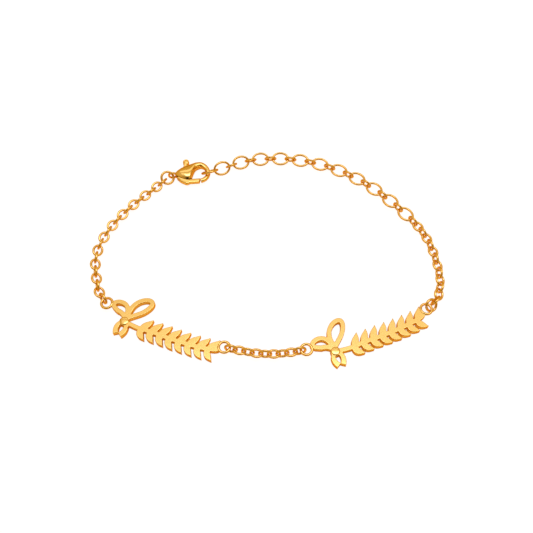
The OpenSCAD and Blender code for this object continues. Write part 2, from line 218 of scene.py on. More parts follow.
# %% [markdown]
# ## Three polished finishes
#
# The same plating lies on three kinds of surface. Drawn wire keeps faint lines along its
# length, which tumbling in steel shot blurs to soft dimples. A plate that was cut from sheet
# is lapped to a flat mirror with a trace of hand polish, and its cut walls keep fine upright
# ridges. A casting is polished by hand, so its skin waves gently and its hollows stay duller.
# A single roughness would hide all of that. Each finish is therefore one Principled metal
# whose roughness and bump come from patterns sized in millimetres. The real lines are finer
# than a picture of the whole bracelet can show, so they are drawn a little coarser here, and
# very shallow, and the eye reads them as a softer edge to each reflection. The film's
# thickness varies too, and so the colour drifts slightly between two golds.

# %% Gold plate on a given surface
def gold_plate(name, ridge, ridge_mm, fine_depth, wave_mm, wave_depth, rough):
    """Polished gold plate. ridge says how many times finer the fine pattern is across than
    along the surface's own length, ridge_mm and fine_depth its spacing and depth, wave_mm and
    wave_depth the slow unevenness left by polishing, and rough the range of the roughness."""
    material = bpy.data.materials.new(name)
    material.use_nodes = True
    tree = material.node_tree
    tree.nodes.clear()
    place = add(tree, "ShaderNodeTexCoord")
    lines = add(tree, "ShaderNodeMapping", {
        "Vector": place.outputs["UV"], "Scale": (1 / ridge_mm / ridge, 1 / ridge_mm, 1)})
    fine = add(tree, "ShaderNodeTexNoise", {
        "Vector": lines.outputs[0], "Scale": 1.0, "Detail": 3.0, "Roughness": 0.6})
    wave = add(tree, "ShaderNodeTexNoise", {
        "Vector": place.outputs["Object"], "Scale": PER_MM / wave_mm, "Detail": 2.0})
    film = add(tree, "ShaderNodeTexNoise", {
        "Vector": place.outputs["Object"], "Scale": PER_MM / FILM_MM, "Detail": 4.0})
    colour = add(tree, "ShaderNodeMix", {
        "Factor": film.outputs["Fac"], "A": linear(GOLD), "B": linear(GOLD_THIN)},
        data_type="RGBA")
    dull = add(tree, "ShaderNodeMapRange", {
        "Value": fine.outputs["Fac"], "From Min": 0.3, "From Max": 0.7,
        "To Min": rough[0], "To Max": rough[1]})
    slow = add(tree, "ShaderNodeBump", {
        "Height": wave.outputs["Fac"], "Strength": 1.0, "Distance": wave_depth * MM})
    bumps = add(tree, "ShaderNodeBump", {
        "Height": fine.outputs["Fac"], "Normal": slow.outputs[0], "Strength": 0.35,
        "Distance": fine_depth * MM})
    metal = add(tree, "ShaderNodeBsdfPrincipled", {
        "Base Color": colour.outputs["Result"], "Metallic": 1.0, "Roughness": dull.outputs[0],
        "Specular Tint": linear(GOLD_EDGE), "Normal": bumps.outputs[0]})
    add(tree, "ShaderNodeOutputMaterial", {"Surface": metal.outputs[0]})
    return material


# drawn_wire: thin crisp lights along each link, with the drawing lines only as a faint grain
drawn_wire = gold_plate("gold_plated_drawn_wire", ridge=12, ridge_mm=0.06, fine_depth=0.0004,
                        wave_mm=1.5, wave_depth=0.0008, rough=(0.08, 0.14))
# cut_sheet: broad pale faces that mirror the sky softly, against darker, ridged cut walls
cut_sheet = gold_plate("gold_plated_cut_sheet", ridge=6, ridge_mm=0.10, fine_depth=0.0012,
                       wave_mm=4.0, wave_depth=0.008, rough=(0.10, 0.17))
# casting: the sharpest shine, bent by the slow waves of hand polishing
casting = gold_plate("gold_plated_casting", ridge=1, ridge_mm=0.12, fine_depth=0.0010,
                     wave_mm=1.8, wave_depth=0.008, rough=(0.07, 0.13))

# %% [markdown]
# ## Chain links
#
# A cable link is a piece of round wire bent to an oval, closed, and soldered at the middle of
# one side, where a keen eye finds a slight swelling. The chain's links could be scattered with
# an array on a curve, but each one lies its own way where it hooks its neighbours. So each is
# built where the frame has it: the directions in which its triangles spread most, second most
# and least are its length, its width and its thickness.

# %% Where a link lies
def lie_of(points, triangles):
    """Middle, axes and half sizes of one link. Each triangle counts by its area: the middle is
    the mean of their centres, and the axes are the eigenvectors of the centres' spread."""
    corners = points[triangles]
    area = np.linalg.norm(np.cross(corners[:, 1] - corners[:, 0], corners[:, 2] - corners[:, 0]),
                          axis=1)[:, None]
    centre = corners.mean(axis=1)
    middle = (centre * area).sum(axis=0) / area.sum()
    thin, wide, long = np.linalg.eigh(((centre - middle) * area).T @ (centre - middle))[1].T
    long = long * np.sign(long[0] or 1)
    thin = thin * np.sign(thin[2] or 1)
    axes = np.stack([long, np.cross(thin, long), thin])
    return middle, axes, np.abs((corners.reshape(-1, 3) - middle) @ axes.T).max(axis=0)


def links_of(name):
    """The lie of every loose link in a chain node."""
    points, triangles = node_arrays(name)
    label = solids(triangles, len(points))[triangles[:, 0]]
    return [lie_of(points, triangles[label == k]) for k in range(label.max() + 1)]


# %% The skin of a link
LINK_STEPS = 56
WIRE_STEPS = 16
SOLDER_SWELL = 0.05
SOLDER_MM = 0.22
LINK_CROWDING = 0.5


def link_block(middle, axes, half, seam_side=1):
    """The skin of a wire link as a grid: round the link along u, round the wire along v. Its
    middle line is the ellipse x = a cos t, y = b sin t, whose outward direction is the angle of
    (b cos t, a sin t). t is s + LINK_CROWDING sin(s), counted from the side opposite the
    solder, so that the rows crowd at the solder. There the wire is thicker in the link's
    plane, by a bell curve. seam_side is the side of the link's own y axis with the solder."""
    wire = half[2]
    a, b = half[:2] - wire
    s = np.linspace(0, 2 * math.pi, LINK_STEPS, endpoint=False)
    t = s + LINK_CROWDING * np.sin(s) - math.pi / 2
    x, y = a * np.cos(t), b * np.sin(t) * seam_side
    outward = np.stack([b * np.cos(t), a * np.sin(t) * seam_side, t * 0], -1)
    outward = (outward / np.linalg.norm(outward, axis=1)[:, None])[:, None, :]
    near = np.exp(-((x / (SOLDER_MM * MM)) ** 2)) * (y * seam_side > 0)
    v = np.linspace(0, 2 * math.pi, WIRE_STEPS, endpoint=False)[::seam_side]
    thick = wire * (1 + SOLDER_SWELL * near)[:, None, None]
    local = np.stack([x, y, x * 0], -1)[:, None, :] + thick * np.cos(v)[None, :, None] * outward
    local = local + wire * np.sin(v)[None, :, None] * np.array([0, 0, 1])
    step = np.hypot(np.diff(x, append=x[0]), np.diff(y, append=y[0]))
    u_mm = np.concatenate([[0], np.cumsum(step)]) / MM
    v_mm = np.linspace(0, 2 * math.pi, WIRE_STEPS + 1) * wire / MM
    return grid(middle + local @ axes, u_mm, v_mm)


# The solder goes on each link's upper side, so that its swelling never reaches the table
CHAINS = ["cable_chain_left", "cable_chain_centre", "cable_chain_right", "extender_chain"]
for node in CHAINS:
    rows = links_of(node)
    blocks = [link_block(*row, seam_side=1 if row[1][1, 2] > 0 else -1) for row in rows]
    make_piece(node + "_links", blocks, drawn_wire, "bracelet", "plated_chain", [node])
    print(f"{node}: {len(rows)} links, the first {np.round(rows[0][2] * 2 / MM, 2).tolist()} mm")

# %% [markdown]
# ## Round rings
#
# A jump ring is a turn of wire cut from a coil and bent shut without solder, so a hairline
# stays where its ends meet. A torus primitive has no such line and no way to bunch its rows,
# so the ring is the same kind of grid, with its rows crowded at the joint and the radius drawn
# in there by a narrow notch. The rings soldered to the plates are made by the same function.
# There the wire swells instead, over the stretch that the solder fills.

# %% The skin of a round ring
RING_STEPS = 72
RING_WIRE_STEPS = 20
RING_CROWDING = 0.8
NOTCH_WIDTH, NOTCH_SWELL = 0.06, -0.22


def ring_block(middle, axes, bend, wire, at=0.0, width=NOTCH_WIDTH, swell=NOTCH_SWELL):
    """A round ring as a grid. The angle along it is s + RING_CROWDING sin(s), counted from the
    point opposite at, so that the rows crowd at at. The wire's radius is scaled by
    1 + swell exp(-(d / width) squared), where d is the angle away from at."""
    s = np.linspace(0, 2 * math.pi, RING_STEPS, endpoint=False)
    away = s + RING_CROWDING * np.sin(s) - math.pi
    turn = at + away
    radius = wire * (1 + swell * np.exp(-((away / width) ** 2)))[:, None, None]
    v = np.linspace(0, 2 * math.pi, RING_WIRE_STEPS, endpoint=False)[None, :, None]
    outward = np.stack([np.cos(turn), np.sin(turn), turn * 0], -1)[:, None, :]
    local = bend * outward + radius * (np.cos(v) * outward + np.sin(v) * np.array([0, 0, 1]))
    u_mm = np.append(turn - turn[0], 2 * math.pi) * bend / MM
    v_mm = np.append(v.ravel(), 2 * math.pi) * wire / MM
    return grid(middle + local @ axes, u_mm, v_mm)


# Where each jump ring's joint is, as an angle along the ring
for node, joint_at in {"jump_ring_clasp": 2.4, "jump_ring_plate": -1.9}.items():
    middle, axes, half = lie_of(*node_arrays(node))
    blocks = [ring_block(middle, axes, half[0] - half[2], half[2], at=joint_at)]
    make_piece(node + "_wire", blocks, drawn_wire, "bracelet", "plated_chain", [node])

# %% [markdown]
# ## The nameplates
#
# Each plate is cut from 1.3 mm sheet, and polishing rounds its edges just enough to catch a
# thin line of light. The outline is read from the frame's flat underside. A Bevel modifier
# would stumble over the hundreds of short edges of such an outline, so the rounding is a
# profile carried along it instead: at each outline point a quarter circle turns from the wall
# to the face, and what is left between the outlines is filled. A rim of 0.02 mm on the flat
# keeps the smooth shading of the round from bleeding into the face.

# %% Outline of a flat face
SHORTEST_EDGE = 0.01 * MM


def flat_face(name, level):
    """Points (N, 2) of a node's flat face at one height, and its closed outlines as lists of
    their numbers, with the metal on the left. Of two points closer than SHORTEST_EDGE only one
    stays, because an edge that short has no sure direction."""
    points, triangles = node_arrays(name)
    lies = np.abs(points[:, 2] - level) < 1e-6
    triangles = triangles[lies[triangles].all(axis=1)]
    used, triangles = np.unique(triangles, return_inverse=True)
    points, triangles = points[used, :2], triangles.reshape(-1, 3)
    a, b, c = (points[triangles[:, k]] for k in range(3))
    area = (b - a)[:, 0] * (c - a)[:, 1] - (b - a)[:, 1] * (c - a)[:, 0]
    triangles = np.where((area < 0)[:, None], triangles[:, ::-1], triangles)[area != 0]
    edges = np.concatenate([triangles[:, [0, 1]], triangles[:, [1, 2]], triangles[:, [2, 0]]])
    count = len(points)
    key = edges[:, 0] * count + edges[:, 1]
    border = edges[~np.isin(key, edges[:, 1] * count + edges[:, 0])]
    follows = dict(border.tolist())
    loops = []
    while follows:
        loop = [next(iter(follows))]
        while loop[-1] in follows:
            loop.append(follows.pop(loop[-1]))
        loop = np.array(loop[:-1])
        step = np.linalg.norm(points[np.roll(loop, -1)] - points[loop], axis=1)
        loops.append(loop[step > SHORTEST_EDGE])
    used = np.unique(np.concatenate(loops))
    return points[used], [np.searchsorted(used, loop).tolist() for loop in loops]


def inward(outline):
    """Unit shifts towards the metal at each outline point: the two edges' left normals are
    added, and lengthened so that both edges move in by one, but at a tip by two at most."""
    edge = np.roll(outline, -1, axis=0) - outline
    left = np.stack([-edge[:, 1], edge[:, 0]], -1) / np.linalg.norm(edge, axis=1)[:, None]
    both = left + np.roll(left, 1, axis=0)
    both = both / np.maximum(np.linalg.norm(both, axis=1)[:, None], 1e-9)
    return both / np.maximum((both * left).sum(axis=1), 0.5)[:, None]


# %% A flat piece with rounded edges
ROUND_STEPS = 4
FLAT_RIM = 0.02 * MM
SLIVER = 1e-6 * MM ** 2


def fill(points, loops):
    """Points and triangles, counterclockwise, of the metal between closed outlines: of the
    Delaunay triangles that keep the outlines' edges, those whose middle has the metal around
    it, so that a ray from it crosses the outlines an odd number of times. Triangles with
    next to no area are left out, because they have no sure direction. The triangulation
    works in millimetres, so that its sizes are near one."""
    edges = np.concatenate([np.stack([loop, np.roll(loop, -1)], -1) for loop in loops])
    found, _, triangles, origin, _, _ = delaunay_2d_cdt(
        [Vector(xy) for xy in (points / MM).tolist()], edges.tolist(), [], 0, 1e-6)
    spots = np.array([points[old[0]] if old else np.array(new) * MM
                      for new, old in zip(found, origin)])
    triangles = np.array(triangles)
    middle = spots[triangles].mean(axis=1)
    (x0, y0), (x1, y1) = points[edges[:, 0]].T, points[edges[:, 1]].T
    x, y = middle[:, :1], middle[:, 1:]
    climb = np.where(y1 == y0, 1, y1 - y0)
    crosses = ((y0 > y) != (y1 > y)) & (x < x0 + (y - y0) * (x1 - x0) / climb)
    ahead, across = (spots[triangles[:, k]] - spots[triangles[:, 0]] for k in (1, 2))
    double = ahead[:, 0] * across[:, 1] - ahead[:, 1] * across[:, 0]
    return spots, triangles[(crosses.sum(axis=1) % 2 == 1) & (double > 2 * SLIVER)]


def sheet_blocks(points, loops, bottom, top, rounding, drop=None):
    """A flat piece between two heights, with every edge rounded by a quarter of an ellipse that
    is rounding wide and drop high. Walls are a grid along each outline, of rows that move in
    by rounding (1 - cos f) and lie drop (1 - sin f) from the face. Faces fill what is left
    between the outlines moved in."""
    rounding = np.broadcast_to(rounding, len(points))[:, None]
    drop = rounding if drop is None else drop[:, None]
    f = np.linspace(math.pi / 2, 0, ROUND_STEPS + 1)
    move, rise = rounding * (1 - np.cos(f)), drop * (1 - np.sin(f))
    move = np.concatenate([rounding + FLAT_RIM, move, move[:, ::-1], rounding + FLAT_RIM], 1)
    level = rounding * 0
    height = np.concatenate([bottom + level, bottom + rise, top - rise[:, ::-1], top + level], 1)
    wall = np.hypot(np.diff(move[0]), np.diff(height[0]))
    wall_mm = np.concatenate([[0], np.cumsum(wall)]) / MM
    inner = points.copy()
    blocks = []
    for loop in loops:
        outline = points[loop]
        shift = inward(outline)
        inner[loop] = outline + shift * move[loop, -1:]
        flat = outline[:, None, :] + shift[:, None, :] * move[loop][:, :, None]
        along = np.linalg.norm(np.roll(outline, -1, axis=0) - outline, axis=1)
        along_mm = np.concatenate([[0], np.cumsum(along)]) / MM
        rows = np.concatenate([flat, height[loop][:, :, None]], -1)
        blocks.append(grid(rows, along_mm, wall_mm, loop_v=False))
    inner, triangles = fill(inner, loops)
    for level, turned in ((bottom, triangles[:, ::-1]), (top, triangles)):
        face = np.concatenate([inner, np.full((len(inner), 1), level)], -1)
        blocks.append((face, turned.tolist(), inner[turned.ravel()] / MM))
    return blocks


# %% [markdown]
# The rings at the plate's two ends stand a little higher than its face, so whatever of the
# node lies above the face belongs to them. The extent of that in x and y gives each ring's
# middle. The bow's knot is dressed with a low dome, as an engraver raises the crossing of two
# ribbons, because a flat disc would vanish in the plate.

# %% End rings, knots and plates
EDGE_ROUND = 0.10 * MM
END_RING_D = 2.8 * MM
RING_WIRE = 0.55 * MM
KNOT_D = 2.0 * MM
KNOT_RISE = 0.16 * MM
SOLDER_WIDTH, END_RING_SWELL = 0.5, 0.12
NEAREST = 12
DOME_RINGS, DOME_STEPS, DOME_POWER = 9, 48, 0.6


def dome_block(middle, radius, rise, depth):
    """A low dome as a grid of rings: from depth below up to the shoulder, then the radius
    falls as cos f to DOME_POWER while the height rises as sin f, to a point on top."""
    f = np.linspace(0, math.pi / 2, DOME_RINGS)[:-1]
    across = np.concatenate([[radius], radius * np.cos(f) ** DOME_POWER])
    height = np.concatenate([[-depth], rise * np.sin(f)])
    turn = np.linspace(0, 2 * math.pi, DOME_STEPS, endpoint=False)
    points = np.stack([across * np.cos(turn)[:, None], across * np.sin(turn)[:, None],
                       np.broadcast_to(height, (DOME_STEPS, len(height)))], -1) + middle
    wide = np.append(turn, 2 * math.pi) * radius / MM
    return [grid(points, wide, height / MM, loop_v=False),
            cap(points[:, -1], middle + np.array([0, 0, rise])),
            cap(points[:, 0], middle - np.array([0, 0, depth]), flip=True)]


knots = {m["name"]: np.array(m["pos_m"]) for m in frame["record"]["mounts"]}
for side in ("left", "right"):
    node = "nameplate_" + side
    points, loops = flat_face(node, 0.0)
    all_points = node_arrays(node)[0]
    high = all_points[:, 2].max()
    ring_z = high - RING_WIRE / 2
    levels, tally = np.unique(np.round(all_points[:, 2], 6), return_counts=True)
    top = levels[levels > high / 2][np.argmax(tally[levels > high / 2])]
    blocks = sheet_blocks(points, loops, 0.0, top, EDGE_ROUND)
    above = all_points[all_points[:, 2] > top + 0.005 * MM]
    split = (above[:, 0].min() + above[:, 0].max()) / 2
    centres = [(group.min(axis=0) + group.max(axis=0))[:2] / 2
               for group in (above[above[:, 0] < split], above[above[:, 0] > split])]
    for centre in centres:
        near = np.argsort(np.linalg.norm(points - centre, axis=1))[:NEAREST]
        toward = math.atan2(*(points[near].mean(axis=0) - centre)[::-1])
        blocks.append(ring_block(
            np.append(centre, ring_z), np.eye(3), (END_RING_D - RING_WIRE) / 2, RING_WIRE / 2,
            at=toward, width=SOLDER_WIDTH, swell=END_RING_SWELL))
    blocks += dome_block(np.append(knots[side + "_plate_back"][:2], top), KNOT_D / 2 - EDGE_ROUND,
                         KNOT_RISE, top / 2)
    make_piece(node + "_sheet", blocks, cut_sheet, "bracelet", "plated_plate", [node])
    print(f"{node}: {len(loops)} outlines, ring centres",
          np.round(np.array(centres) / MM, 2).tolist())

# %% [markdown]
# ## The clasp
#
# A lobster clasp is a small casting: a full, drop-shaped body that runs out into a round hook,
# with a slot through it in which a sprung lever turns. The body could be modelled by hand from
# a subdivided box, but a lever that turns needs a body that keeps its exact place. So the body
# is a row of rounded sections, placed in the clasp's own frame. That frame is found from the
# lever: the gate's long straight wall gives the direction, and the body's far end the start.

# %% The clasp's own frame
CLASP_LEN = 8.15 * MM
CLASP_WID = 5.8 * MM
CLASP_T = 2.3 * MM
NOSE_T = 1.0 * MM
TAIL_RING_D = 2.2 * MM
TAIL_WIRE = 0.5 * MM
LEVER_T = 1.0 * MM
LEVER_GAP = 0.12 * MM
GATE_W = 1.0 * MM
PIN_D = 0.7 * MM
NUB_D = 1.4 * MM
FACES_NORTH = 0.95

joint = frame["joints"][0]
pivot = np.array(joint["pos_m"])
body_points, _ = node_arrays("clasp_body")
lever_points, lever_triangles = node_arrays("clasp_lever")


def clasp_frame():
    """Start and axes of the clasp: y is the normal of the lever's largest wall triangle that
    faces north, z is up, and the start is a tail ring's radius on from the body's far end."""
    corners = lever_points[lever_triangles]
    normal = np.cross(corners[:, 1] - corners[:, 0], corners[:, 2] - corners[:, 0])
    size = np.linalg.norm(normal, axis=1)
    north = np.where(normal[:, 1] > FACES_NORTH * size, size, 0)
    y = normal[np.argmax(north)] / size[np.argmax(north)]
    x = np.array([y[1], -y[0], 0.0])
    axes = np.stack([x, y, [0, 0, 1]])
    local = (body_points - pivot) @ axes.T
    tail = local[local[:, 0] < local[:, 0].min() + TAIL_WIRE / 2]
    start = [tail[:, 0].min() + TAIL_RING_D / 2, (tail[:, 1].min() + tail[:, 1].max()) / 2, 0]
    return pivot + np.array(start) @ axes, axes


clasp_start, clasp_axes = clasp_frame()
heading = math.degrees(math.atan2(clasp_axes[0, 1], clasp_axes[0, 0]))
print("clasp starts at", np.round(clasp_start / MM, 3).tolist(), "mm, heading", round(heading, 2))


# %% The clasp's body
# Sections from the tail to the hook's root. Columns: x and y of the back edge and of the front
# edge, as shares of CLASP_LEN and CLASP_WID, and the height as a share of CLASP_T.
BODY = np.array([
    [0.076, 0.075, 0.076, -0.075, 0.42], [0.13, 0.16, 0.125, -0.14, 0.70],
    [0.23, 0.27, 0.215, -0.22, 0.92], [0.34, 0.36, 0.32, -0.30, 0.99],
    [0.44, 0.42, 0.42, -0.35, 1.00], [0.515, 0.455, 0.495, -0.305, 1.00],
    [0.575, 0.48, 0.545, -0.145, 0.97], [0.63, 0.502, 0.588, 0.04, 0.92],
    [0.69, 0.515, 0.65, 0.19, 0.84]])
HOOK_X = 0.742 * CLASP_LEN
HOLE_R = CLASP_LEN - NOSE_T / 2 - HOOK_X
BACK_Y = 0.52 * CLASP_WID
SECTION_POWER = 0.88
SECTION_STEPS = 44
SKIN_STEPS = 4
ROW_MM = 0.25
ROUND_MM = 5
# The hook's rows, in degrees round its hole from the back, and how its height falls along them
HOOK_TURN = np.arange(80, -81, -16)
HOOK_ROOT = 0.78
FALL_FROM, FALL_OVER, FALL_POWER = 10, 70, 1.3


def smooth_rows(rows, steps):
    """More rows on a curve through all the given ones: at share f between rows b and c it is
    b + (c - a) f / 2 + (2a - 5b + 4c - d) f^2 / 2 + (3b - a - 3c + d) f^3 / 2."""
    padded = np.concatenate([rows[:1], rows, rows[-1:]])
    a, b, c, d = (padded[k:len(padded) - 3 + k] for k in range(4))
    f = (np.arange(steps) / steps)[:, None, None]
    curve = (b + (c - a) * f / 2 + (2 * a - 5 * b + 4 * c - d) * f ** 2 / 2
             + (3 * b - a - 3 * c + d) * f ** 3 / 2)
    return np.concatenate([curve.transpose(1, 0, 2).reshape(-1, rows.shape[1]), rows[-1:]])


def hook_rows():
    """The hook's rows, from its root to its open end: the outer edge lies on an ellipse and
    the inner edge on a circle, and the height falls from the body's to the nose's."""
    f = np.radians(HOOK_TURN)
    outer_x = HOOK_X + (CLASP_LEN + NOSE_T / 2 - HOOK_X) * np.cos(f)
    outer_y = np.where(f > 0, BACK_Y, HOLE_R + GATE_W) * np.sin(f)
    rise = np.clip((HOOK_TURN - FALL_FROM) / FALL_OVER, 0, 1) ** FALL_POWER
    height = NOSE_T + (HOOK_ROOT * CLASP_T - NOSE_T) * rise
    inner_x, inner_y = HOOK_X + HOLE_R * np.cos(f), HOLE_R * np.sin(f)
    return np.stack([outer_x, outer_y, inner_x, inner_y, height], -1)


def body_grid():
    """Sections as rings: half of the way from front edge to back edge times R(cos f), and half
    of the height times R(sin f), where R(c) is c to SECTION_POWER with c's sign. The angle f
    runs backwards, so that the faces look outward."""
    scale = np.array([CLASP_LEN, CLASP_WID, CLASP_LEN, CLASP_WID, CLASP_T])
    rows = smooth_rows(np.concatenate([BODY * scale, hook_rows()]), SKIN_STEPS)
    rows[:, 4] = np.minimum(rows[:, 4], CLASP_T)
    back, front, height = rows[:, None, :2], rows[:, None, 2:4], rows[:, None, 4:]
    f = np.linspace(2 * math.pi, 0, SECTION_STEPS, endpoint=False)[None, :, None]
    across, up = (np.sign(w) * np.abs(w) ** SECTION_POWER for w in (np.cos(f), np.sin(f)))
    flat = (back + front) / 2 + (back - front) / 2 * across
    return np.concatenate([flat, height / 2 * up], -1)


skin = body_grid()
skin_points = clasp_start + skin @ clasp_axes
ends = [skin_points[0], skin_points[-1]]
u_mm = np.arange(len(skin)) * ROW_MM
v_mm = np.linspace(0, ROUND_MM, SECTION_STEPS + 1)
blocks = [grid(skin_points, u_mm, v_mm, loop_u=False),
          cap(ends[0], ends[0].mean(axis=0)), cap(ends[1], ends[1].mean(axis=0), flip=True)]
print("clasp body skin:", skin_points.shape[0], "sections of", skin_points.shape[1], "points")

# %% [markdown]
# The slot is what the lever sweeps as it turns, with a little room. It is cut with Blender's
# Boolean, one cutter for each step of the turn, because the sweep of such an outline has no
# short formula. The cutters are the lever's own outline, grown by the gap. Each next one is
# grown slightly less, because a Boolean fails where two faces lie in one place.

# %% The slot for the lever
SWEEP_STEPS = 6
GAP_LOSS = 0.2
lever_low, lever_high = lever_points[:, 2].min(), lever_points[:, 2].max()
lever_face = flat_face("clasp_lever", lever_low)


def cutter(turn):
    """The lever's outer outline turned about the pin, and grown by the gap, as a prism. The gap
    shrinks a little with the turn, so that no two cutters have walls or lids in one place."""
    gap = LEVER_GAP * (1 - GAP_LOSS * turn)
    points, loops = lever_face
    outer = points[max(loops, key=len)] - pivot[:2]
    outer = outer - inward(outer) * gap
    c, s = math.cos(turn), math.sin(turn)
    outer = outer @ np.array([[c, s], [-s, c]]) + pivot[:2]
    low, high = lever_low - gap, lever_high + gap
    ring = [np.concatenate([outer, np.full((len(outer), 1), z)], -1) for z in (low, high)]
    count = len(outer)
    a = np.arange(count)
    b = (a + 1) % count
    walls = np.stack([a, b, b + count, a + count], -1).tolist()
    caps = [list(range(count))[::-1], list(range(count, 2 * count))]
    mesh = bpy.data.meshes.new("cutter")
    mesh.from_pydata(np.concatenate(ring).tolist(), [], walls + caps)
    thing = bpy.data.objects.new("cutter", mesh)
    bpy.context.scene.collection.objects.link(thing)
    return thing


body = join_blocks("clasp_body_casting", blocks)
cutters = [cutter(math.radians(t)) for t in np.linspace(*joint["range_deg"], SWEEP_STEPS + 1)]
for thing in cutters:
    cut = body.modifiers.new("slot", "BOOLEAN")
    cut.operation = "DIFFERENCE"
    cut.solver = "EXACT"
    cut.object = thing
bpy.context.view_layer.update()
cut_body = body.evaluated_get(bpy.context.evaluated_depsgraph_get())
cut_mesh = bpy.data.meshes.new_from_object(cut_body)
body.modifiers.clear()
body.data = cut_mesh
for thing in cutters:
    bpy.data.objects.remove(thing)
finish_piece(body, casting, "bracelet", "plated_clasp", ["clasp_body"])

# %% [markdown]
# The tail ring stands upright, where it grows a little thicker into the body's tail. The pin
# is a short turned pin, buried in both sides of the slot and polished over, so that no rivet
# shows outside. It could be left out, but a look into the slot would then find the lever
# hanging on nothing.

# %% Tail ring and pin
TAIL_WIDTH, TAIL_SWELL = 0.6, 0.15
PIN_SEAT = 0.6
PIN_DOME = 0.05 * MM
PIN_STEPS, PIN_RINGS = 32, 6
ring_axes = np.stack([clasp_axes[0], clasp_axes[2], -clasp_axes[1]])
tail_ring = ring_block(clasp_start, ring_axes, (TAIL_RING_D - TAIL_WIRE) / 2, TAIL_WIRE / 2,
                       width=TAIL_WIDTH, swell=TAIL_SWELL)
make_piece("clasp_tail_ring", [tail_ring], casting, "bracelet", "plated_clasp", ["clasp_body"])


def pin_blocks(middle, radius, half):
    """The pin as a grid of rings: a straight shank with both ends rounded to low domes, where
    the radius is radius times sin f and the height falls from the end by PIN_DOME (1 - cos f)."""
    f = np.linspace(0, math.pi / 2, PIN_RINGS)
    across = radius * np.concatenate([np.sin(f)[1:], np.cos(f)[:-1]])
    height = np.concatenate([-half + PIN_DOME * (1 - np.cos(f))[1:],
                             half - PIN_DOME * (1 - np.sin(f))[:-1]])
    turn = np.linspace(0, 2 * math.pi, PIN_STEPS, endpoint=False)
    points = np.stack([across * np.cos(turn)[:, None], across * np.sin(turn)[:, None],
                       np.broadcast_to(height, (PIN_STEPS, len(height)))], -1) + middle
    return [grid(points, np.append(turn, 2 * math.pi), height / MM, loop_v=False),
            cap(points[:, -1], middle + [0, 0, half]),
            cap(points[:, 0], middle - [0, 0, half], flip=True)]


make_piece("clasp_pin", pin_blocks(pivot, PIN_D / 2, LEVER_T / 2 + (1 + PIN_SEAT) * LEVER_GAP),
           casting, "bracelet", "plated_clasp", ["clasp_body"])

# %% [markdown]
# The lever is stamped and then tumbled, so its edges are rounder than the plates'. Only the
# end that meets the hook, and the bore, stay crisp, so that the joint reads as a thin line.
# Its nub is pressed to a button for the thumbnail. The button is an ellipsoid grid, because
# the frame's flat disc gives only its place. The pin passes through the lever's bore, and is
# the one thing that the lever is meant to touch.

# %% The lever
LEVER_ROUND = 0.38 * MM
LEVER_DROP = 0.20 * MM
TIP_ROUND = 0.03 * MM
TIP_LENGTH = 0.8 * MM
BUTTON_POWER, BUTTON_RISE = 0.6, 0.56
BUTTON_RINGS, BUTTON_STEPS = 25, 36
points, loops = lever_face
reach = np.linalg.norm(points - pivot[:2], axis=1)
share = np.clip((reach.max() - reach) / TIP_LENGTH, 0, 1) * (reach > PIN_D)
rounding, drop = (TIP_ROUND + (full - TIP_ROUND) * share for full in (LEVER_ROUND, LEVER_DROP))
blocks = sheet_blocks(points, loops, lever_low, lever_high, rounding, drop)
local = (lever_points - clasp_start) @ clasp_axes.T
nub_middle = clasp_start + (local[np.argmax(local[:, 1])] - [0, NUB_D / 2, 0]) @ clasp_axes
nub_middle[2] = (lever_low + lever_high) / 2


def button_blocks(middle, radius, half):
    """A button as a grid of rings: the radius is radius times cos f to BUTTON_POWER, the
    height is half times sin f, and both poles are closed."""
    f = np.linspace(-math.pi / 2, math.pi / 2, BUTTON_RINGS)[1:-1]
    turn = np.linspace(0, 2 * math.pi, BUTTON_STEPS, endpoint=False)
    across = radius * np.cos(f) ** BUTTON_POWER
    points = np.stack([across * np.cos(turn)[:, None], across * np.sin(turn)[:, None],
                       np.broadcast_to(half * np.sin(f), (BUTTON_STEPS, len(f)))], -1) + middle
    return [grid(points, np.append(turn, 2 * math.pi) * radius / MM, f * half / MM, loop_v=False),
            cap(points[:, -1], middle + [0, 0, half]),
            cap(points[:, 0], middle - [0, 0, half], flip=True)]


blocks += button_blocks(nub_middle, NUB_D / 2, BUTTON_RISE * LEVER_T)
make_piece("clasp_lever_stamping", blocks, casting, "lever", "plated_clasp", ["clasp_lever"])

# %% [markdown]
# ## Camera, floor and light
#
# The camera stands where the photograph was taken, about 60 degrees above the table and in
# line with the bracelet's middle. The bracelet covers a known number of pixels, and the lens
# is a usual one, so the distance follows from the two.

# %% Camera
PHOTO_PX = 533
FOCAL_PX = 623
PX_PER_MM = 4.68
SENSOR_MM = 36
ELEVATION = math.radians(61.5)
TARGET = np.array([0.0, -3.3, 0.0]) * MM

camera_data = bpy.data.cameras.new("camera")
camera_data.sensor_width = SENSOR_MM
camera_data.lens = camera_data.sensor_width * FOCAL_PX / PHOTO_PX
camera_data.clip_start = 0.01
camera = bpy.data.objects.new("camera", camera_data)
away = FOCAL_PX / PX_PER_MM * MM
camera.location = TARGET + away * np.array([0, -math.cos(ELEVATION), math.sin(ELEVATION)])
camera.rotation_euler = (math.pi / 2 - ELEVATION, 0, 0)
bpy.context.scene.collection.objects.link(camera)
bpy.context.scene.camera = camera
print(f"camera {away / MM:.0f} mm away, lens {camera_data.lens:.1f} mm")
